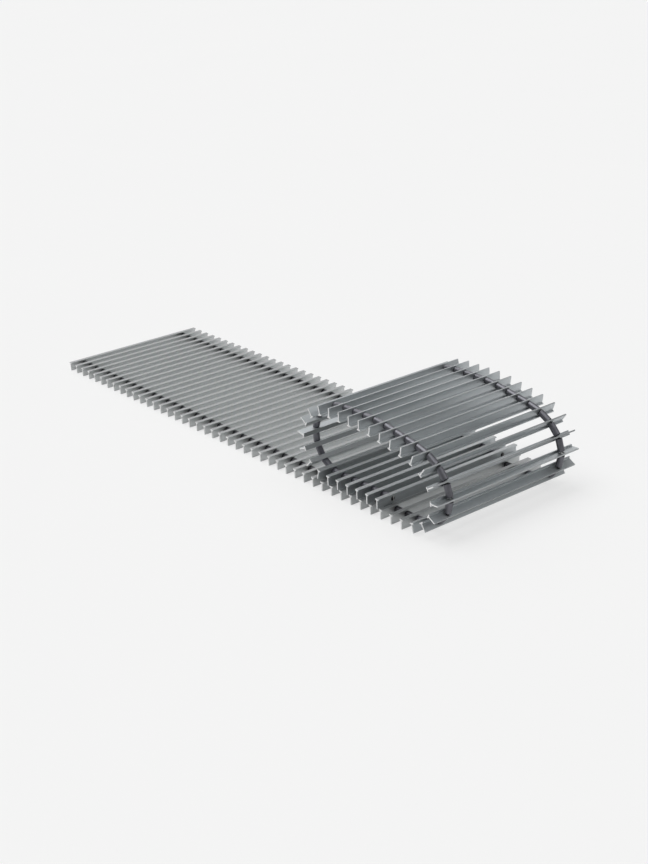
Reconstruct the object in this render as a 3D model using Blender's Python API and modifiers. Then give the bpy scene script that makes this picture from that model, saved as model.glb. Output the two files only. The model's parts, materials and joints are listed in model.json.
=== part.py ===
"""Roll-up floor convector grille, its free end rolled back over the flat run.

T-section slats stand across the grille on two long springs. Tubular spacers on
the springs keep the slats apart, and the springs pull slats and spacers together.
Where the grille bends, each spacer rocks on its flange-side edge at both of its
slats, so that edge is a hinge line, and each gap bends half at either end.

Metres, +Z up, +X along the grille towards the roll, Y along the slats.
"""

import math
from typing import NamedTuple

import bmesh
import bpy
from mathutils import Matrix

# Slat section
SLAT_LENGTH = 0.190
SLAT_HEIGHT = 0.0105
FLANGE_WIDTH = 0.0050
FLANGE_THICKNESS = 0.0015
WEB_THICKNESS = 0.0015
ROOT_FILLET = 0.0004
FILLET_STEPS = 2

# Springs and the spacers on them
PITCH = 0.015
SPRING_INSET = 0.020
SPRING_RADIUS = 0.0020
SPACER_RADIUS = 0.0035
HOLE_CLEARANCE = 0.0005
RUNNING_GAP = 0.0003
HOLE_FLOOR = 0.00025
ROUND_SIDES = 10

# The spring ends hooked over the outer faces of the first and the last slat
HOOK_WIRE_RADIUS = 0.0005
HOOK_HEIGHT = 0.0060
HOOK_SIDES = 8

# The run of slats, and the bend in degrees at each gap of the roll. The last
# bend of the falling curl and the one between the crown runs close the turn.
FLAT_SLATS = 43
CROWN_SLATS = 4
INNER_SLATS = 6
RISING_BENDS = (12, 20, 28, 32, 29, 22, 16, 12)
FALLING_BENDS = (13, 21, 24, 23, 28, 29, 28)

# How the first crown run's tilt is found, by halving the range that holds it
MOST_TILT = math.radians(12)
HALVINGS = 50

# Worked out from the above
FLANGE_OVERHANG = (FLANGE_WIDTH - WEB_THICKNESS) / 2
STEEPEST_ROCK = math.radians(max(RISING_BENDS + FALLING_BENDS)) / 2
UNDER_FLANGE = RUNNING_GAP + FLANGE_OVERHANG * math.tan(STEEPEST_ROCK)
HINGE_HEIGHT = SLAT_HEIGHT - FLANGE_THICKNESS - UNDER_FLANGE
HOLE_RADIUS = SPRING_RADIUS + HOLE_CLEARANCE
SPACER_LENGTH = PITCH - WEB_THICKNESS
SPRING_OFFSET = SLAT_LENGTH / 2 - SPRING_INSET
SIDES = {"near": -SPRING_OFFSET, "far": SPRING_OFFSET}

# The inner run lies on the flat run: its webs over the spacers, between the
# flanges, and its own spacers over the flange tops. The higher of the two bears.
SPACER_BOTTOM = HINGE_HEIGHT - 2 * SPACER_RADIUS
INNER_RISE = max(HINGE_HEIGHT, SLAT_HEIGHT - SPACER_BOTTOM) + RUNNING_GAP

MATERIALS = {
    "slat_aluminium": ((0.46, 0.475, 0.465), 1.0, 0.38),
    "spacer_tube": ((0.13, 0.14, 0.16), 0.0, 0.35),
    "spring_steel": ((0.60, 0.60, 0.58), 1.0, 0.25),
}


class Link(NamedTuple):
    """A stretch of the grille between two hinge lines: a spacer gap, or its slats."""

    name: str
    slats: int
    bend: float
    length: float


def run_length(slats):
    return WEB_THICKNESS + (slats - 1) * PITCH


def roll_links(crown_tilt):
    """The roll's links in order, from the gap after the flat run to the inner run."""
    rising = [math.radians(bend) for bend in RISING_BENDS]
    rising[-1] += crown_tilt
    crown = math.pi - sum(rising)
    falling = [math.radians(bend) for bend in FALLING_BENDS]
    closing = math.pi - sum(falling)
    steps = [("rising_slat", bend, 1) for bend in rising[:-1]]
    steps.append(("crown_run_a", rising[-1], CROWN_SLATS))
    steps.append(("crown_run_b", crown, CROWN_SLATS))
    steps += [("falling_slat", bend, 1) for bend in falling]
    steps.append(("inner_run", closing, INNER_SLATS))
    links = []
    number = FLAT_SLATS
    for kind, bend, slats in steps:
        name = f"{kind}_{number}" if kind.endswith("slat") else kind
        links.append(Link(f"spacer_{number - 1}", 0, bend / 2, SPACER_LENGTH))
        links.append(Link(name, slats, bend / 2, run_length(slats)))
        number += slats
    return links


def walk(links):
    """Each link with the place of its rear hinge line and its angle.

    Places are (x, z) from the rear hinge line of the first slat.
    """
    x, z, angle = run_length(FLAT_SLATS), 0.0, 0.0
    placed = []
    for link in links:
        angle += link.bend
        placed.append((link, x, z, angle))
        x += link.length * math.cos(angle)
        z += link.length * math.sin(angle)
    return placed


def seated_tilt():
    """The tilt of the first crown run that lays the inner run on the flat run."""
    low, high = -MOST_TILT, MOST_TILT
    for _ in range(HALVINGS):
        tilt = (low + high) / 2
        height = walk(roll_links(tilt))[-1][2]
        if height > INNER_RISE:
            low = tilt
        else:
            high = tilt
    return (low + high) / 2


def slat_outline():
    """The T section as (x, z) from the hinge line on the slat's rear face."""
    bottom = -HINGE_HEIGHT
    top = bottom + SLAT_HEIGHT
    under = top - FLANGE_THICKNESS
    front_fillet = []
    rear_fillet = []
    for step in range(FILLET_STEPS + 1):
        turn = math.pi / 2 * step / FILLET_STEPS
        across = ROOT_FILLET * (1 - math.cos(turn))
        along = ROOT_FILLET * (1 - math.sin(turn))
        front_fillet.append((WEB_THICKNESS + across, under - along))
        rear_fillet.append((-across, under - along))
    right = WEB_THICKNESS + FLANGE_OVERHANG
    left = -FLANGE_OVERHANG
    outline = [(0, bottom), (WEB_THICKNESS, bottom)]
    outline += front_fillet
    outline += [(right, under), (right, top), (left, top), (left, under)]
    outline += reversed(rear_fillet)
    return outline


def centre_of_length(placed):
    """Halfway between the two ends of the whole grille, from the first hinge line."""
    ends = [x for x, _ in slat_outline()]
    for link, x, _, angle in placed:
        for slat in range(link.slats):
            for forward, up in slat_outline():
                forward += slat * PITCH
                ends.append(x + forward * math.cos(angle) - up * math.sin(angle))
    return (min(ends) + max(ends)) / 2


def clear_scene():
    for obj in list(bpy.data.objects):
        bpy.data.objects.remove(obj, do_unlink=True)


def new_collection(name, shown):
    collection = bpy.data.collections.new(name)
    collection.hide_render = not shown
    bpy.context.scene.collection.children.link(collection)
    return collection


def new_material(name):
    color, metallic, roughness = MATERIALS[name]
    material = bpy.data.materials.new(name)
    material.use_nodes = True
    shader = material.node_tree.nodes["Principled BSDF"]
    shader.inputs["Base Color"].default_value = (*color, 1.0)
    shader.inputs["Metallic"].default_value = metallic
    shader.inputs["Roughness"].default_value = roughness
    return material


def evaluated_mesh(obj):
    """The object's mesh with its modifiers applied; the object itself is removed."""
    bpy.context.view_layer.update()
    graph = bpy.context.evaluated_depsgraph_get()
    mesh = bpy.data.meshes.new_from_object(obj.evaluated_get(graph))
    mesh.transform(obj.matrix_world)
    mesh.name = obj.name
    bpy.data.objects.remove(obj, do_unlink=True)
    return mesh


def add_boolean(obj, cutter, operation):
    modifier = obj.modifiers.new(cutter.name, "BOOLEAN")
    modifier.operation = operation
    modifier.object = cutter
    modifier.solver = "EXACT"


def add_round_bar(name, collection, radius, start, end, y, z, sides=ROUND_SIDES):
    """A bar along X from start to end."""
    turn = Matrix.Rotation(math.pi / 2, 4, "Y")
    place = Matrix.Translation(((start + end) / 2, y, z))
    shape = bmesh.new()
    bmesh.ops.create_cone(
        shape,
        cap_ends=True,
        segments=sides,
        radius1=radius,
        radius2=radius,
        depth=end - start,
        matrix=place @ turn,
    )
    mesh = bpy.data.meshes.new(name)
    shape.to_mesh(mesh)
    shape.free()
    obj = bpy.data.objects.new(name, mesh)
    obj.display_type = "WIRE" if collection.hide_render else "TEXTURED"
    collection.objects.link(obj)
    return obj


def add_spring_holes(obj, name, collection, start, end):
    """Cuts a hole for each spring through whatever the object has between the two X."""
    for side, y in SIDES.items():
        hole = add_round_bar(
            f"{name}_{side}", collection, HOLE_RADIUS, start, end, y, -SPACER_RADIUS
        )
        hole.parent = obj.parent
        add_boolean(obj, hole, "DIFFERENCE")


def make_slat_mesh():
    """One slat without holes: its section drawn out along Y."""
    shape = bmesh.new()
    near_end = [shape.verts.new((x, -SLAT_LENGTH / 2, z)) for x, z in slat_outline()]
    section = shape.faces.new(near_end)
    drawn = bmesh.ops.extrude_face_region(shape, geom=[section])["geom"]
    far_end = [item for item in drawn if isinstance(item, bmesh.types.BMVert)]
    bmesh.ops.translate(shape, verts=far_end, vec=(0, SLAT_LENGTH, 0))
    bmesh.ops.recalc_face_normals(shape, faces=shape.faces)
    mesh = bpy.data.meshes.new("slat")
    shape.to_mesh(mesh)
    shape.free()
    return mesh


def make_holed_slat_mesh(slat_mesh, cutters):
    """One slat with a hole through its web for each spring."""
    slat = bpy.data.objects.new("holed_slat", slat_mesh)
    cutters.objects.link(slat)
    reach = WEB_THICKNESS + FLANGE_OVERHANG
    add_spring_holes(slat, "spring_hole", cutters, -FLANGE_OVERHANG, reach)
    return evaluated_mesh(slat)


def make_spacer_mesh(cutters):
    """A spacer tube turned about the spring, which shows at both of its ends.

    The spring reaches into each slat's hole, up to near the middle of the web.
    """
    start = RUNNING_GAP
    end = SPACER_LENGTH - RUNNING_GAP
    reach = WEB_THICKNESS / 2 + RUNNING_GAP / 2
    profile = [
        (start - reach, 0),
        (start - reach, SPRING_RADIUS),
        (start, SPRING_RADIUS),
        (start, SPACER_RADIUS),
        (end, SPACER_RADIUS),
        (end, SPRING_RADIUS),
        (end + reach, SPRING_RADIUS),
        (end + reach, 0),
    ]
    shape = bmesh.new()
    points = [shape.verts.new((x, 0, radius)) for x, radius in profile]
    for pair in zip(points, points[1:]):
        shape.edges.new(pair)
    mesh = bpy.data.meshes.new("spacer")
    shape.to_mesh(mesh)
    shape.free()
    spacer = bpy.data.objects.new("spacer", mesh)
    cutters.objects.link(spacer)
    turned = spacer.modifiers.new("Turn", "SCREW")
    turned.axis = "X"
    turned.steps = ROUND_SIDES
    turned.render_steps = ROUND_SIDES
    turned.use_merge_vertices = True
    turned.merge_threshold = 1e-6
    turned.use_normal_flip = True
    turned.use_smooth_shade = False
    mesh = evaluated_mesh(spacer)
    mesh.transform(Matrix.Translation((0, 0, -SPACER_RADIUS)))
    return mesh


def make_spring_end_mesh(cutters):
    """The end coil in the slat's hole, and the wire hooked upright across it.

    Its own +X points out of the slat, from the web's outer face. The coil ends
    inside the wire, a quarter of the way through it.
    """
    depth = WEB_THICKNESS - HOLE_FLOOR - RUNNING_GAP
    coil_end = RUNNING_GAP + HOOK_WIRE_RADIUS / 2
    coil = add_round_bar("spring_coil", cutters, SPRING_RADIUS, -depth, coil_end, 0, 0)
    wire = add_round_bar(
        "spring_hook",
        cutters,
        HOOK_WIRE_RADIUS,
        -HOOK_HEIGHT / 2,
        HOOK_HEIGHT / 2,
        0,
        0,
        HOOK_SIDES,
    )
    wire.rotation_euler.y = math.pi / 2
    wire.location.x = RUNNING_GAP + HOOK_WIRE_RADIUS
    add_boolean(coil, wire, "UNION")
    return evaluated_mesh(coil)


def add_piece(name, mesh, material, parent, collection, location=(0, 0, 0), turn=0.0):
    obj = bpy.data.objects.new(name, mesh)
    obj.parent = parent
    obj.location = location
    obj.rotation_euler.z = turn
    if not mesh.materials:
        mesh.materials.append(material)
    collection.objects.link(obj)
    return obj


def add_run(name, slats, slat_mesh, material, parent, parts, cutters):
    """Straight slats joined to the two strings of spacers that carry them.

    Only the outer faces of its first and last slat are open to the springs.
    """
    last = (slats - 1) * PITCH
    run = add_piece(name, slat_mesh, material, parent, parts)
    repeat = run.modifiers.new("Slats", "ARRAY")
    repeat.use_relative_offset = False
    repeat.use_constant_offset = True
    repeat.constant_offset_displace = (PITCH, 0, 0)
    repeat.count = slats
    for side, y in SIDES.items():
        string = add_round_bar(
            f"{name}_string_{side}",
            cutters,
            SPACER_RADIUS,
            WEB_THICKNESS / 2,
            last + WEB_THICKNESS / 2,
            y,
            -SPACER_RADIUS,
        )
        string.parent = parent
        add_boolean(run, string, "UNION")
    floor = WEB_THICKNESS - HOLE_FLOOR
    reach = last + WEB_THICKNESS + FLANGE_OVERHANG
    add_spring_holes(run, f"{name}_rear_hole", cutters, -FLANGE_OVERHANG, floor)
    add_spring_holes(run, f"{name}_front_hole", cutters, last + HOLE_FLOOR, reach)
    return run


def add_hinge(name, parent, x, bend, parts):
    """An empty on a hinge line, x along its parent, turned up by the bend."""
    hinge = bpy.data.objects.new(name, None)
    hinge.empty_display_size = PITCH / 2
    hinge.parent = parent
    hinge.location.x = x
    hinge.rotation_euler.y = -bend
    parts.objects.link(hinge)
    return hinge


def build():
    clear_scene()
    parts = new_collection("floor_convector_grille", shown=True)
    cutters = new_collection("cutters", shown=False)
    aluminium = new_material("slat_aluminium")
    tube = new_material("spacer_tube")
    steel = new_material("spring_steel")

    slat_mesh = make_slat_mesh()
    holed_slat_mesh = make_holed_slat_mesh(slat_mesh, cutters)
    spacer_mesh = make_spacer_mesh(cutters)
    spring_end_mesh = make_spring_end_mesh(cutters)

    placed = walk(roll_links(seated_tilt()))
    grille = bpy.data.objects.new("grille", None)
    grille.location = (-centre_of_length(placed), 0, HINGE_HEIGHT)
    parts.objects.link(grille)
    add_run("flat_run", FLAT_SLATS, slat_mesh, aluminium, grille, parts, cutters)
    for side, y in SIDES.items():
        name = f"spring_end_first_{side}"
        place = (0, y, -SPACER_RADIUS)
        add_piece(name, spring_end_mesh, steel, grille, parts, place, math.pi)

    parent = grille
    length = run_length(FLAT_SLATS)
    for link, *_ in placed:
        name = link.name
        parent = add_hinge(f"hinge_{name}", parent, length, link.bend, parts)
        if link.slats == 0:
            for side, y in SIDES.items():
                add_piece(f"{name}_{side}", spacer_mesh, tube, parent, parts, (0, y, 0))
        elif link.slats == 1:
            add_piece(name, holed_slat_mesh, aluminium, parent, parts)
        else:
            add_run(name, link.slats, slat_mesh, aluminium, parent, parts, cutters)
        length = link.length

    for side, y in SIDES.items():
        name = f"spring_end_last_{side}"
        place = (length, y, -SPACER_RADIUS)
        add_piece(name, spring_end_mesh, steel, parent, parts, place)


build()
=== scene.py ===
"""Roll-up floor convector grille: satin aluminium slats strung on two long springs.

The slats, the spacers between them and the springs' visible turns are modelled in the
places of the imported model's solids, and every hinge line comes from its joints.
"""

import json
import math

import bmesh
import bpy
from mathutils import Matrix, Vector


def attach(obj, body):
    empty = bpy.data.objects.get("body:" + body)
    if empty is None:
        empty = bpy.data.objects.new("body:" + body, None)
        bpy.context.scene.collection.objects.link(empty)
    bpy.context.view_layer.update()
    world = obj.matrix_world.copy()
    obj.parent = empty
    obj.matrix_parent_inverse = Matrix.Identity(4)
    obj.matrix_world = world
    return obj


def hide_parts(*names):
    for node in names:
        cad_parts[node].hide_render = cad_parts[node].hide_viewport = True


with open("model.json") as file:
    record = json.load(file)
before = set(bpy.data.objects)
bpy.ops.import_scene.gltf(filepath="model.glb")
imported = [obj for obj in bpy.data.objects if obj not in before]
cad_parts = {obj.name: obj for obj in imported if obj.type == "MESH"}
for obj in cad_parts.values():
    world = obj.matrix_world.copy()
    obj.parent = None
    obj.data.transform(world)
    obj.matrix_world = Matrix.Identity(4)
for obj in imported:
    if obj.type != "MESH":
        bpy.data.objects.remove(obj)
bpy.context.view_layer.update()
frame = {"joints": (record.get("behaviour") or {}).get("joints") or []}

MM = 0.001

# The slat's section
SLAT_LENGTH = 190 * MM
SLAT_HEIGHT = 10.5 * MM
FLANGE_WIDTH = 5 * MM
FLANGE_THICKNESS = 1.5 * MM
WEB_THICKNESS = 1.5 * MM
ROOT_FILLET = 0.4 * MM
CORNER_RADIUS = 0.16 * MM
FLANGE_OVERHANG = (FLANGE_WIDTH - WEB_THICKNESS) / 2
UNDER_FLANGE = SLAT_HEIGHT - FLANGE_THICKNESS
HALF_LENGTH = SLAT_LENGTH / 2

# The springs' holes through the slats
HOLE_RADIUS = 2.5 * MM
HOLE_CHAMFER = 0.12 * MM
HOLE_SIDES = 28
DRILL_LENGTH = 6 * MM

# The two strings, and the spacers on them
PITCH = 15 * MM
SPRING_OFFSET = 75 * MM
SIDES = {"near": -SPRING_OFFSET, "far": SPRING_OFFSET}
SPACER_RADIUS = 3.5 * MM
SPACER_LENGTH = PITCH - WEB_THICKNESS
SPACER_BORE = 2.6 * MM
BORE_DEPTH = 4 * MM
SPACER_CHAMFER = 0.2 * MM
SEATED_CLEARANCE = 0.06 * MM
SEATED_SIDES = 20
ROCKING_CLEARANCE = 0.3 * MM
ROCKING_SIDES = 28

# A face whose middle lies beyond this share of the spacer's radius is on its outer skin
SKIN_SHARE = 0.93

# The springs' turns between a slat and a spacer
SPRING_RADIUS = 2 * MM
WIRE_RADIUS = 0.3 * MM
WIRE_SIDES = 7
STEPS_PER_TURN = 14
COIL_PITCH = 0.78 * MM
COIL_IN_HOLE = 0.6 * MM
COIL_IN_BORE = 3.4 * MM

# The springs' ends: the last turns, and a straight bar of wire across the slat's hole
END_COIL_LENGTH = 1.3 * MM
END_COIL_PITCH = 0.66 * MM
END_COIL_PROUD = 0.45 * MM
HOOK_RADIUS = 0.4 * MM
HOOK_LENGTH = 5.9 * MM
HOOK_STANDOFF = 0.8 * MM
HOOK_ROUNDING = 0.2 * MM
HOOK_SIDES = 12

# The slats of each straight run and each curl, counted from the flat run's outer end
FLAT_SLATS = range(43)
RISING_SLATS = range(43, 50)
CROWN_A_SLATS = range(50, 54)
CROWN_B_SLATS = range(54, 58)
FALLING_SLATS = range(58, 65)
INNER_SLATS = range(65, 71)
LAST_SLAT = INNER_SLATS[-1]

# The gaps that bend, each with the number of the slat before it
BENDING_GAPS = (
    FLAT_SLATS[-1], *RISING_SLATS, CROWN_A_SLATS[-1], CROWN_B_SLATS[-1], *FALLING_SLATS,
)

# Where each finish stands in the list of a slat, and in that of a spacer
DRAWN_FACE, SAWN_FACE, LEVEL_FACE = 0, 1, 2
TUBE_SKIN, TUBE_END = 0, 1

# Margins: lengths taken as equal, angles taken as equal, and faces that look along an axis
SAME_PLACE = 2e-5
SAME_ANGLE = 0.01
FACING = 0.9
SQUARE_ON = 0.99


# Where each slat stands

joint_place = {joint["name"]: Vector(joint["pos_m"]) for joint in frame["joints"]}
first_hinge = joint_place[f"rock_{FLAT_SLATS[-1]}_rear"]
HINGE_HEIGHT = first_hinge.z
AXIS_HEIGHT = HINGE_HEIGHT - SPACER_RADIUS
REAR = first_hinge.x - FLAT_SLATS[-1] * PITCH - WEB_THICKNESS
FRONT = REAR + WEB_THICKNESS


def slope(start, end):
    """The upward angle of the line between two places in the XZ plane."""
    return math.atan2(end.z - start.z, end.x - start.x)


def lay_out_grille():
    """Each slat's rear hinge line and angle, and those of each spacer that rocks."""
    slats = {}
    for number in FLAT_SLATS:
        slats[number] = (Vector((REAR + number * PITCH, 0, HINGE_HEIGHT)), 0.0)
    spacers = {}
    angle = 0.0
    for gap, last in zip(BENDING_GAPS, (*BENDING_GAPS[1:], LAST_SLAT)):
        rear = joint_place[f"rock_{gap}_rear"]
        front = joint_place[f"rock_{gap}_front"]
        lean = slope(rear, front)
        while lean < angle - SAME_ANGLE:
            lean += 2 * math.pi
        spacers[gap] = (rear, lean)
        angle = 2 * lean - angle
        if last != LAST_SLAT and last - gap > 1:
            angle = slope(front, joint_place[f"rock_{last}_rear"])
        while angle < lean - SAME_ANGLE:
            angle += 2 * math.pi
        along = Vector((math.cos(angle), 0, math.sin(angle)))
        for number in range(gap + 1, last + 1):
            slats[number] = (front + along * PITCH * (number - gap - 1), angle)
    return slats, spacers


slat_at, spacer_at = lay_out_grille()


# Hand modelling

def nothing_selected():
    if bpy.context.object and bpy.context.object.mode != "OBJECT":
        bpy.ops.object.mode_set(mode="OBJECT")
    bpy.ops.object.select_all(action="DESELECT")


def take_up(obj):
    nothing_selected()
    obj.select_set(True)
    bpy.context.view_layer.objects.active = obj


def settle(name):
    """Names the new piece, and puts its place and size into its mesh."""
    obj = bpy.context.object
    obj.name = name
    obj.data.name = name
    bpy.ops.object.transform_apply(location=True, rotation=True, scale=True)
    return obj


def pick_faces(obj, wanted):
    shape = bmesh.from_edit_mesh(obj.data)
    for face in shape.faces:
        face.select_set(False)
    for face in shape.faces:
        if wanted(face):
            face.select_set(True)
    bmesh.update_edit_mesh(obj.data)


def pick_edges(obj, wanted):
    shape = bmesh.from_edit_mesh(obj.data)
    bpy.ops.mesh.select_mode(type="EDGE")
    for edge in shape.edges:
        edge.select_set(False)
    for edge in shape.edges:
        if wanted(edge.verts[0].co, edge.verts[1].co):
            edge.select_set(True)
    bmesh.update_edit_mesh(obj.data)


def apply_modifiers(obj):
    take_up(obj)
    for modifier in list(obj.modifiers):
        bpy.ops.object.modifier_apply(modifier=modifier.name)


def round_off(obj, angle):
    """Smooth shading across edges flatter than the angle."""
    take_up(obj)
    bpy.ops.object.shade_smooth_by_angle(angle=math.radians(angle))


def swung(hinge, angle, start):
    """The move that takes a piece from its starting hinge line to another one."""
    turn = Matrix.Rotation(-angle, 4, "Y")
    return Matrix.Translation(hinge) @ turn @ Matrix.Translation(-start)


def turned_about(centre):
    """Half a turn about the upright line through a place."""
    shift = Matrix.Translation(centre)
    return shift @ Matrix.Rotation(math.pi, 4, "Z") @ shift.inverted()


def copied(source, name, move):
    obj = source.copy()
    obj.data = source.data.copy()
    obj.name = name
    obj.data.name = name
    obj.data.transform(move)
    bpy.context.scene.collection.objects.link(obj)
    return obj


def joined(name, pieces):
    nothing_selected()
    for piece in pieces:
        piece.select_set(True)
    bpy.context.view_layer.objects.active = pieces[0]
    bpy.ops.object.join()
    pieces[0].name = name
    pieces[0].data.name = name
    return pieces[0]


def discard(*pieces):
    for piece in pieces:
        bpy.data.objects.remove(piece, do_unlink=True)


def near_to(value, target):
    return abs(value - target) < SAME_PLACE


# Shader maths

class Signal:
    """A shader socket that Python's operators can work with."""

    def __init__(self, paint, socket):
        self.paint = paint
        self.socket = socket

    def maths(self, operation, other=None, third=None):
        values = [self, other, third]
        given = {place: value for place, value in enumerate(values) if value is not None}
        return self.paint.node("ShaderNodeMath", {"operation": operation}, given)

    def __add__(self, other):
        return self.maths("ADD", other)

    __radd__ = __add__

    def __mul__(self, other):
        return self.maths("MULTIPLY", other)

    __rmul__ = __mul__

    def __sub__(self, other):
        return self.maths("SUBTRACT", other)

    def __rsub__(self, other):
        return self.maths("MULTIPLY_ADD", -1.0, other)

    def size(self):
        return self.maths("ABSOLUTE")

    def above(self, level, softness):
        """0 below the level and 1 above it, with a soft step between."""
        span = {"From Min": level - softness, "From Max": level + softness}
        return self.paint.node("ShaderNodeMapRange", {"clamp": True}, {"Value": self, **span})


class Paint:
    """One procedural material on the piece's own coordinates."""

    def __init__(self, name):
        self.material = bpy.data.materials.new(name)
        self.material.use_nodes = True
        self.tree = self.material.node_tree
        self.shader = self.tree.nodes["Principled BSDF"]
        self.place = self.node("ShaderNodeTexCoord", {}, {}, "Object")

    def feed(self, socket, value):
        if isinstance(value, Signal):
            self.tree.links.new(value.socket, socket)
        elif hasattr(value, "__len__") and len(value) == 3 and socket.type == "RGBA":
            socket.default_value = (*value, 1.0)
        else:
            socket.default_value = value

    def node(self, kind, settings, values, *outputs):
        """A new node's output, its first where none is named, or a list of several."""
        made = self.tree.nodes.new(kind)
        for name, value in settings.items():
            setattr(made, name, value)
        for name, value in values.items():
            self.feed(made.inputs[name], value)
        signals = [Signal(self, made.outputs[output]) for output in outputs or (0,)]
        return signals if len(signals) > 1 else signals[0]

    def axes(self):
        return self.node("ShaderNodeSeparateXYZ", {}, {0: self.place}, "X", "Y", "Z")

    def stretched(self, x, y, z):
        """The piece's coordinates, scaled by the three factors."""
        settings = {"operation": "MULTIPLY"}
        return self.node("ShaderNodeVectorMath", settings, {0: self.place, 1: (x, y, z)})

    def noise(self, where, scale, detail=2.0, roughness=0.5):
        values = {"Vector": where, "Scale": scale, "Detail": detail, "Roughness": roughness}
        return self.node("ShaderNodeTexNoise", {}, values)

    def mixed(self, factor, first, second):
        values = {"Factor": factor, 6: first, 7: second}
        return self.node("ShaderNodeMix", {"data_type": "RGBA"}, values, 2)

    def bumped(self, height, distance, strength=1.0):
        values = {"Height": height, "Distance": distance, "Strength": strength}
        return self.node("ShaderNodeBump", {}, values)

    def finish(self, **sockets):
        for name, value in sockets.items():
            self.feed(self.shader.inputs[name.replace("_", " ").title()], value)
        return self.material


def anodised_slat(name, dull, bright):
    """Satin anodised aluminium, with fine lines drawn along the extrusion."""
    paint = Paint(name)
    drawn = paint.noise(paint.stretched(1.0, 0.006, 1.0), 5200.0, 3.0, 0.6)
    broad = paint.noise(paint.stretched(1.0, 0.02, 1.0), 620.0, 2.0, 0.5)
    cloud = paint.noise(paint.stretched(1.0, 0.5, 1.0), 26.0, 3.0, 0.55)
    speck = paint.noise(paint.place, 2600.0, 1.0, 0.5).above(0.735, 0.03)
    tone = drawn * 0.42 + broad * 0.33 + cloud * 0.25
    colour = paint.mixed(tone.above(0.5, 0.22), dull, bright)
    colour = paint.mixed(speck * 0.35, colour, (0.16, 0.165, 0.16))
    rough = 0.30 + cloud * 0.09 + drawn * 0.07 + broad * 0.05
    height = drawn * 0.75 + broad * 0.25
    normal = paint.bumped(height, 0.012 * MM, 0.55)
    return paint.finish(base_color=colour, metallic=0.8, roughness=rough, normal=normal)


def sawn_end():
    """The slats' bright sawn ends, with the saw's fine curved marks."""
    paint = Paint("sawn_end")
    x, _, z = paint.axes()
    swing = (x + 0.3) * (x + 0.3) + (z + 0.11) * (z + 0.11)
    arc = swing.maths("SQRT") * 3600.0
    marks = (arc.maths("FRACT") - 0.5).size() * 2.0
    grain = paint.noise(paint.place, 3800.0, 2.0, 0.6)
    tone = marks * 0.45 + grain * 0.55
    colour = paint.mixed(tone, (0.84, 0.845, 0.84), (0.96, 0.962, 0.96))
    rough = 0.34 + grain * 0.16
    normal = paint.bumped(tone, 0.01 * MM, 0.5)
    return paint.finish(base_color=colour, metallic=0.35, roughness=rough, normal=normal)


def spacer_tube(name, dark, light):
    """Smooth dark grey tube with a faint blue cast and light scuffs."""
    paint = Paint(name)
    cloud = paint.noise(paint.place, 210.0, 3.0, 0.55)
    grain = paint.noise(paint.place, 3400.0, 2.0, 0.5)
    scuff = paint.noise(paint.stretched(1.0, 0.35, 1.0), 900.0, 3.0, 0.7).above(0.66, 0.06)
    colour = paint.mixed(cloud.above(0.5, 0.25), dark, light)
    colour = paint.mixed(scuff * 0.3, colour, (0.26, 0.26, 0.29))
    rough = 0.33 + cloud * 0.1 + grain * 0.06 + scuff * 0.08
    normal = paint.bumped(grain * 0.6 + cloud * 0.4, 0.008 * MM, 0.5)
    return paint.finish(base_color=colour, metallic=0.6, roughness=rough, normal=normal)


def spacer_end_shade():
    """The spacers' end rings and bores, painted near black as the shade in the gaps at the
    tube ends.
    """
    paint = Paint("spacer_end_shade")
    grain = paint.noise(paint.place, 1800.0, 3.0, 0.6)
    colour = paint.mixed(grain, (0.012, 0.012, 0.014), (0.035, 0.034, 0.036))
    rough = 0.5 + grain * 0.2
    normal = paint.bumped(grain, 0.01 * MM, 0.5)
    return paint.finish(base_color=colour, metallic=0.2, roughness=rough, normal=normal)


def shaded_wire():
    """The springs' turns, painted near black as shade in the gaps and holes."""
    paint = Paint("shaded_wire")
    cloud = paint.noise(paint.place, 900.0, 3.0, 0.6)
    colour = paint.mixed(cloud, (0.05, 0.05, 0.052), (0.13, 0.13, 0.13))
    rough = 0.34 + cloud * 0.16
    normal = paint.bumped(cloud, 0.006 * MM, 0.4)
    return paint.finish(base_color=colour, metallic=0.8, roughness=rough, normal=normal)


def spring_wire():
    """The bright drawn wire of the bars that hold the springs' ends."""
    paint = Paint("spring_wire")
    cloud = paint.noise(paint.place, 900.0, 3.0, 0.6)
    grain = paint.noise(paint.place, 5200.0, 2.0, 0.5)
    colour = paint.mixed(cloud, (0.46, 0.46, 0.455), (0.70, 0.70, 0.69))
    rough = 0.24 + grain * 0.16
    normal = paint.bumped(grain, 0.006 * MM, 0.4)
    return paint.finish(base_color=colour, metallic=1.0, roughness=rough, normal=normal)


finish_of = {
    "slat_aluminium": anodised_slat("rolled_slat", (0.485, 0.511, 0.524), (0.57, 0.6, 0.615)),
    # A lighter copy of the slats' finish for the flat run: painted light
    "flat_slat": anodised_slat("flat_slat", (0.562, 0.578, 0.58), (0.65, 0.668, 0.67)),
    # A darker copy for the slats' up- and down-facing faces: painted shade
    "level_face_painted_shade": anodised_slat("level_face_painted_shade", (0.40, 0.416, 0.423), (0.455, 0.473, 0.48)),
    # A darker copy for the flat run's flange tops: painted shade
    "flange_top_painted_shade": anodised_slat("flange_top_painted_shade", (0.30, 0.309, 0.312), (0.355, 0.366, 0.37)),
    "sawn_end": sawn_end(),
    "spacer_tube": spacer_tube("spacer_tube", (0.135, 0.135, 0.153), (0.175, 0.175, 0.195)),
    # A near-black copy of the tube for the flat run's spacers: painted shade
    "painted_shade_tube": spacer_tube("painted_shade_tube", (0.04, 0.04, 0.046), (0.07, 0.07, 0.078)),
    "spacer_end_shade": spacer_end_shade(),
    "shaded_wire": shaded_wire(),
    "spring_steel": spring_wire(),
}


# The pieces that repeat, each modelled once in the first slat's place

home = Vector((REAR, 0, HINGE_HEIGHT))
spacer_home = home + Vector((WEB_THICKNESS, 0, 0))


def dress(obj, *finishes):
    for finish in finishes:
        obj.data.materials.append(finish_of[finish])


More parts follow.
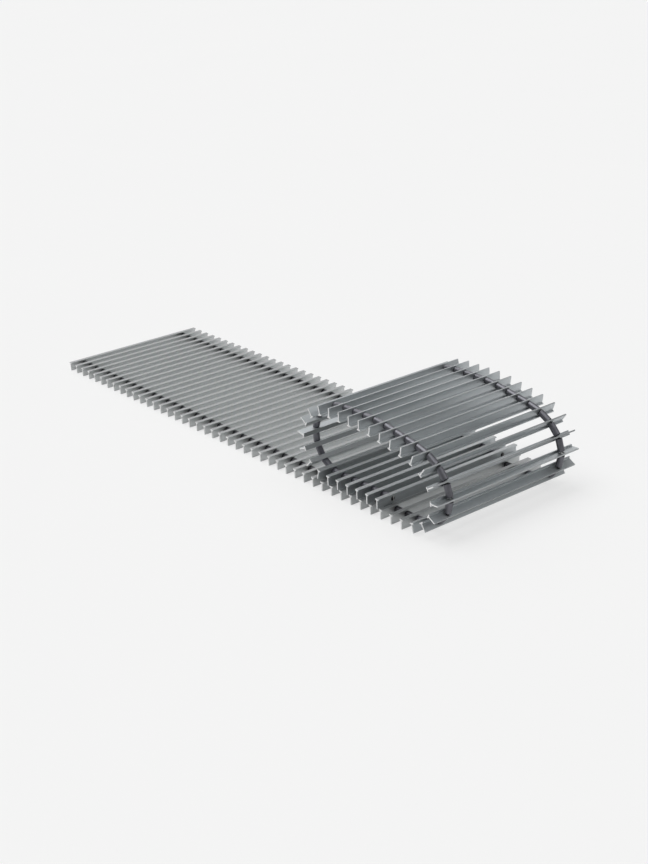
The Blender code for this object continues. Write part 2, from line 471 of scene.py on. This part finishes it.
def model_slat():
    """A T-section slat drawn out of a flat bar, with a fillet under each flange."""
    nothing_selected()
    bpy.ops.mesh.primitive_cube_add(
        size=1,
        location=(REAR + WEB_THICKNESS / 2, 0, SLAT_HEIGHT / 2),
        scale=(WEB_THICKNESS, SLAT_LENGTH, SLAT_HEIGHT),
    )
    slat = settle("plain_slat")
    dress(slat, "slat_aluminium", "sawn_end", "level_face_painted_shade")
    bpy.ops.object.mode_set(mode="EDIT")
    bpy.ops.mesh.select_all(action="SELECT")
    bpy.ops.mesh.bisect(plane_co=(0, 0, UNDER_FLANGE), plane_no=(0, 0, 1))
    bpy.ops.mesh.select_mode(type="FACE")
    for way in (1, -1):
        pick_faces(slat, lambda face: face.normal.x * way > FACING
                   and face.calc_center_median().z > UNDER_FLANGE)
        outward = {"value": (way * FLANGE_OVERHANG, 0, 0)}
        bpy.ops.mesh.extrude_region_move(TRANSFORM_OT_translate=outward)

    def under_the_flange(a, b):
        at_web = near_to(a.x, b.x) and (near_to(a.x, REAR) or near_to(a.x, FRONT))
        return at_web and near_to(a.z, UNDER_FLANGE) and near_to(b.z, UNDER_FLANGE)

    pick_edges(slat, under_the_flange)
    bpy.ops.mesh.bevel(offset=ROOT_FILLET, segments=3, profile=0.5, affect="EDGES")

    def outer_corner(a, b):
        if abs(a.y - b.y) < HALF_LENGTH:
            return near_to(abs(a.y), HALF_LENGTH) and near_to(abs(b.y), HALF_LENGTH)
        at_foot = near_to(a.z, 0) and near_to(b.z, 0)
        on_web = near_to(a.x, REAR) or near_to(a.x, FRONT)
        return at_foot or (a.z > UNDER_FLANGE - MM / 100 and not on_web
                           and abs(a.x - REAR - WEB_THICKNESS / 2) > WEB_THICKNESS)

    pick_edges(slat, outer_corner)
    bpy.ops.mesh.bevel(offset=CORNER_RADIUS, segments=2, profile=0.5, affect="EDGES")
    shape = bmesh.from_edit_mesh(slat.data)
    for face in shape.faces:
        height = face.calc_center_median().z
        face.material_index = SAWN_FACE if abs(face.normal.y) > SQUARE_ON else DRAWN_FACE
        # Up- and down-facing faces take the darker copy of the finish: painted shade
        if abs(face.normal.z) > SQUARE_ON and not near_to(height, UNDER_FLANGE):
            face.material_index = LEVEL_FACE
    bmesh.update_edit_mesh(slat.data)
    bpy.ops.object.mode_set(mode="OBJECT")
    return slat


def drill_slat(slat):
    """The same slat with a hole for each spring, its rims lightly broken."""
    drilled = copied(slat, "drilled_slat", Matrix.Identity(4))
    for y in SIDES.values():
        nothing_selected()
        bpy.ops.mesh.primitive_cylinder_add(
            vertices=HOLE_SIDES,
            radius=HOLE_RADIUS,
            depth=DRILL_LENGTH,
            location=(REAR + WEB_THICKNESS / 2, y, AXIS_HEIGHT),
            rotation=(0, math.pi / 2, 0),
        )
        drill = settle("drill")
        cut = drilled.modifiers.new("Hole", "BOOLEAN")
        cut.operation = "DIFFERENCE"
        cut.object = drill
        cut.solver = "EXACT"
        apply_modifiers(drilled)
        discard(drill)
    take_up(drilled)
    bpy.ops.object.mode_set(mode="EDIT")

    def on_rim(a, b):
        for y in SIDES.values():
            reach = [math.hypot(point.y - y, point.z - AXIS_HEIGHT) for point in (a, b)]
            if all(near_to(length, HOLE_RADIUS) for length in reach):
                return near_to(a.x, b.x)
        return False

    pick_edges(drilled, on_rim)
    bpy.ops.mesh.bevel(offset=HOLE_CHAMFER, segments=1, affect="EDGES")
    bpy.ops.object.mode_set(mode="OBJECT")
    return drilled


def model_spacer(name, clearance, bore_depth, sides):
    """A spacer between two webs, chamfered at its rims and bored to the given depth."""
    nothing_selected()
    middle = spacer_home + Vector((SPACER_LENGTH / 2, 0, -SPACER_RADIUS))
    half = SPACER_LENGTH / 2 - clearance
    bpy.ops.mesh.primitive_cylinder_add(
        vertices=sides,
        radius=SPACER_RADIUS,
        depth=2 * half,
        location=middle,
        rotation=(0, math.pi / 2, 0),
    )
    spacer = settle(name)
    dress(spacer, "spacer_tube", "spacer_end_shade")
    bpy.ops.object.mode_set(mode="EDIT")
    bpy.ops.mesh.select_mode(type="FACE")
    if bore_depth:
        for way in (1, -1):
            pick_faces(spacer, lambda face: face.normal.x * way > FACING)
            bpy.ops.mesh.inset(thickness=SPACER_RADIUS - SPACER_BORE)
            inward = {"value": (-way * bore_depth, 0, 0)}
            bpy.ops.mesh.extrude_region_move(TRANSFORM_OT_translate=inward)

    def on_rim(a, b):
        reach = [math.hypot(point.y - middle.y, point.z - middle.z) for point in (a, b)]
        at_end = near_to(abs(a.x - middle.x), half) and near_to(abs(b.x - middle.x), half)
        return at_end and all(near_to(length, SPACER_RADIUS) for length in reach)

    pick_edges(spacer, on_rim)
    bpy.ops.mesh.bevel(offset=SPACER_CHAMFER, segments=1, affect="EDGES")
    # End rings and bores take the near-black finish: painted shade at the tube ends
    shape = bmesh.from_edit_mesh(spacer.data)
    for face in shape.faces:
        centre = face.calc_center_median()
        reach = math.hypot(centre.y - middle.y, centre.z - middle.z)
        on_skin = reach > SPACER_RADIUS * SKIN_SHARE and abs(face.normal.x) < FACING
        face.material_index = TUBE_SKIN if on_skin else TUBE_END
    bmesh.update_edit_mesh(spacer.data)
    bpy.ops.object.mode_set(mode="OBJECT")
    round_off(spacer, angle=32)
    return spacer


def model_coil(name, start, length, pitch):
    """A stretch of spring about the spacer's axis, from start along X."""
    nothing_selected()
    bpy.ops.mesh.primitive_circle_add(
        vertices=WIRE_SIDES,
        radius=WIRE_RADIUS,
        location=(start, 0, AXIS_HEIGHT),
    )
    coil = bpy.context.object
    coil.name = name
    coil.data.name = name
    coil.data.transform(Matrix.Translation((0, SPRING_RADIUS - WIRE_RADIUS, 0)))
    turns = length / pitch
    wound = coil.modifiers.new("Turns", "SCREW")
    wound.axis = "X"
    wound.angle = 2 * math.pi * turns
    wound.screw_offset = length
    wound.steps = math.ceil(STEPS_PER_TURN * turns)
    wound.render_steps = wound.steps
    wound.use_smooth_shade = True
    apply_modifiers(coil)
    bpy.ops.object.transform_apply(location=True, rotation=True, scale=True)
    bpy.ops.object.mode_set(mode="EDIT")
    bpy.ops.mesh.select_all(action="SELECT")
    bpy.ops.mesh.fill_holes(sides=0)
    bpy.ops.mesh.select_all(action="SELECT")
    bpy.ops.mesh.normals_make_consistent(inside=False)
    bpy.ops.object.mode_set(mode="OBJECT")
    dress(coil, "shaded_wire")
    round_off(coil, angle=60)
    return coil


plain_slat = model_slat()
drilled_slat = drill_slat(plain_slat)
seated_spacer = model_spacer("seated_spacer", SEATED_CLEARANCE, 0, SEATED_SIDES)
rocking_spacer = model_spacer("rocking_spacer", ROCKING_CLEARANCE, BORE_DEPTH, ROCKING_SIDES)
coil_start = FRONT - COIL_IN_HOLE
rear_coil = model_coil("rear_coil", coil_start, COIL_IN_HOLE + COIL_IN_BORE, COIL_PITCH)


def place(obj, body, slot, *nodes):
    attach(obj, body)
    if nodes:
        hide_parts(*nodes)


def lay_run(title, node, numbers):
    """A straight run: its slats as one piece, and the spacers in its gaps as another."""
    slats = []
    spacers = []
    for number in numbers:
        hinge, angle = slat_at[number]
        at_end = number in (numbers[0], numbers[-1])
        source = drilled_slat if at_end else plain_slat
        slats.append(copied(source, f"{title}_slat", swung(hinge, angle, home)))
        if number == numbers[-1]:
            continue
        for y in SIDES.values():
            move = swung(hinge, angle, home) @ Matrix.Translation((0, y, 0))
            spacers.append(copied(seated_spacer, f"{title}_spacer", move))
    bars = joined(f"{title}_slats", slats)
    tubes = joined(f"{title}_spacers", spacers)
    # The flat run takes copies of its own: lighter slats as painted light, darker flange tops
    # as painted shade, and near-black spacers as painted shade
    if title == "flat":
        bars.data.materials[DRAWN_FACE] = finish_of["flat_slat"]
        bars.data.materials[LEVEL_FACE] = finish_of["flange_top_painted_shade"]
        tubes.data.materials[TUBE_SKIN] = finish_of["painted_shade_tube"]
    place(bars, node, "slat_aluminium", node)
    place(tubes, node, "spacer_tube")


lay_run("flat", "flat_run", FLAT_SLATS)
lay_run("crown_a", "crown_run_a", CROWN_A_SLATS)
lay_run("crown_b", "crown_run_b", CROWN_B_SLATS)
lay_run("inner", "inner_run", INNER_SLATS)

for number in (*RISING_SLATS, *FALLING_SLATS):
    kind = "rising_slat" if number in RISING_SLATS else "falling_slat"
    hinge, angle = slat_at[number]
    slat = copied(drilled_slat, f"slat_{number}", swung(hinge, angle, home))
    place(slat, f"{kind}_{number}", "slat_aluminium", f"{kind}_{number}")

for gap, (hinge, angle) in spacer_at.items():
    for side, y in SIDES.items():
        move = swung(hinge, angle, spacer_home) @ Matrix.Translation((0, y, 0))
        spacer = copied(rocking_spacer, f"tube_{gap}_{side}", move)
        place(spacer, f"spacers_{gap}", "spacer_tube", f"spacer_{gap}_{side}")
        other_way = move @ turned_about(spacer_home + Vector((SPACER_LENGTH / 2, 0, 0)))
        ends = [copied(rear_coil, "coil", move), copied(rear_coil, "coil", other_way)]
        place(joined(f"spring_{gap}_{side}", ends), f"spacers_{gap}", "spring_steel")


def model_spring_end():
    """The spring's last turns in the slat's hole, and a straight bar of wire across it."""
    coil = model_coil("end_turns", REAR - END_COIL_PROUD, END_COIL_LENGTH, END_COIL_PITCH)
    nothing_selected()
    bpy.ops.mesh.primitive_cylinder_add(
        vertices=HOOK_SIDES,
        radius=HOOK_RADIUS,
        depth=HOOK_LENGTH,
        location=(REAR - HOOK_STANDOFF, 0, AXIS_HEIGHT),
    )
    hook = settle("hook")
    dress(hook, "spring_steel")
    bpy.ops.object.mode_set(mode="EDIT")
    pick_edges(hook, lambda a, b: near_to(a.z, b.z))
    bpy.ops.mesh.bevel(offset=HOOK_ROUNDING, segments=2, affect="EDGES")
    bpy.ops.object.mode_set(mode="OBJECT")
    round_off(hook, angle=40)
    return joined("spring_end", [coil, hook])


spring_end = model_spring_end()
for side, y in SIDES.items():
    first = copied(spring_end, f"hook_first_{side}", Matrix.Translation((0, y, 0)))
    place(first, "flat_run", "spring_steel", f"spring_end_first_{side}")
    hinge, angle = slat_at[LAST_SLAT]
    front_side = turned_about(home + Vector((WEB_THICKNESS / 2, 0, 0)))
    move = swung(hinge, angle, home) @ Matrix.Translation((0, y, 0)) @ front_side
    last = copied(spring_end, f"hook_last_{side}", move)
    place(last, "inner_run", "spring_steel", f"spring_end_last_{side}")

discard(plain_slat, drilled_slat, seated_spacer, rocking_spacer, rear_coil, spring_end)


# Floor, light and camera

FLOOR_SIZE = 60
FLOOR_GLOW = 0.75
FLOOR_GLOW_IN_METAL = 0.25
SKY_FILL = 0.05
PALE_WALLS = 0.855
METAL_WALLS = 0.12

# Each lamp's azimuth and elevation, its share of white on a level floor, and its spread
LAMPS = {
    "key_panel": (-60, 65, 0.46, 45),
    "left_panel": (-92, 36, 0.05, 40),
    "ceiling_panel": (0, 89, 0.27, 75),
    "rear_panel": (234, 22, 0.05, 44),
    "right_panel": (120, 42, 0.08, 40),
}


def shown(paint, to_camera, to_metal):
    """A strength for what the camera sees itself, and one for what metal or glass shows."""
    kinds = ("Is Camera Ray", "Is Glossy Ray", "Is Transmission Ray")
    direct, glossy, through = paint.node("ShaderNodeLightPath", {}, {}, *kinds)
    return direct * to_camera + glossy.maths("MAXIMUM", through) * to_metal


def studio_floor():
    """A pale floor: the camera sees a quarter of its shadows, and metal three quarters."""
    paint = Paint("studio_floor")
    cloud = paint.noise(paint.place, 3.0, 2.0, 0.5)
    colour = paint.mixed(cloud, (0.898, 0.9, 0.9), (0.908, 0.908, 0.906))
    paint.finish(base_color=(0.95, 0.95, 0.948), roughness=0.9)
    glow = paint.node("ShaderNodeEmission", {}, {"Color": colour, "Strength": 1.0})
    lit = Signal(paint, paint.shader.outputs[0])
    values = {0: shown(paint, FLOOR_GLOW, FLOOR_GLOW_IN_METAL), 1: lit, 2: glow}
    both = paint.node("ShaderNodeMixShader", {}, values)
    paint.feed(paint.tree.nodes["Material Output"].inputs["Surface"], both)
    return paint.material


nothing_selected()
bpy.ops.mesh.primitive_plane_add(size=FLOOR_SIZE)
floor = bpy.context.object
floor.name = "studio_floor"
floor.data.materials.append(studio_floor())


class Backdrop(Paint):
    """The studio's walls, which are brighter in metal and to the camera than as a lamp."""

    def __init__(self, name):
        self.material = bpy.data.worlds.new(name)
        self.material.use_nodes = True
        self.tree = self.material.node_tree
        self.shader = self.tree.nodes["Background"]


backdrop = Backdrop("studio")
glow = shown(backdrop, PALE_WALLS, METAL_WALLS) + SKY_FILL
bpy.context.scene.world = backdrop.finish(color=(1.0, 1.0, 1.0), strength=glow)


def add_sun(name, azimuth, elevation, share, spread):
    """A wide soft lamp that lifts a level floor by the given share of white."""
    height = math.radians(elevation)
    turn = math.radians(azimuth)
    towards = Vector((
        math.sin(turn) * math.cos(height),
        -math.cos(turn) * math.cos(height),
        math.sin(height),
    ))
    lamp = bpy.data.lights.new(name, "SUN")
    lamp.energy = share * math.pi / math.sin(height)
    lamp.angle = math.radians(spread)
    obj = bpy.data.objects.new(name, lamp)
    obj.rotation_euler = towards.to_track_quat("Z", "Y").to_euler()
    bpy.context.scene.collection.objects.link(obj)


for name, lamp in LAMPS.items():
    add_sun(name, *lamp)

CAMERA_PLACE = Vector((1.20144, -0.88607, 0.60210))
AZIMUTH = math.radians(52.279)
ELEVATION = math.radians(22.475)
ROLL = math.radians(-2.906)
FOCAL_PIXELS = 1418.3
FRAME_HEIGHT = 864
SENSOR = 36.0

back = Vector((
    math.sin(AZIMUTH) * math.cos(ELEVATION),
    -math.cos(AZIMUTH) * math.cos(ELEVATION),
    math.sin(ELEVATION),
))
level = Vector((math.cos(AZIMUTH), math.sin(AZIMUTH), 0))
upright = back.cross(level)
right = level * math.cos(ROLL) + upright * math.sin(ROLL)
up = upright * math.cos(ROLL) - level * math.sin(ROLL)
lens = bpy.data.cameras.new("camera")
lens.sensor_width = SENSOR
lens.lens = FOCAL_PIXELS / FRAME_HEIGHT * SENSOR
lens.clip_start = 0.01
lens.clip_end = 200
camera = bpy.data.objects.new("camera", lens)
pose = Matrix((right, up, back)).transposed().to_4x4()
camera.matrix_world = Matrix.Translation(CAMERA_PLACE) @ pose
bpy.context.scene.collection.objects.link(camera)
bpy.context.scene.camera = camera

view = bpy.context.scene.view_settings
view.view_transform = "Standard"
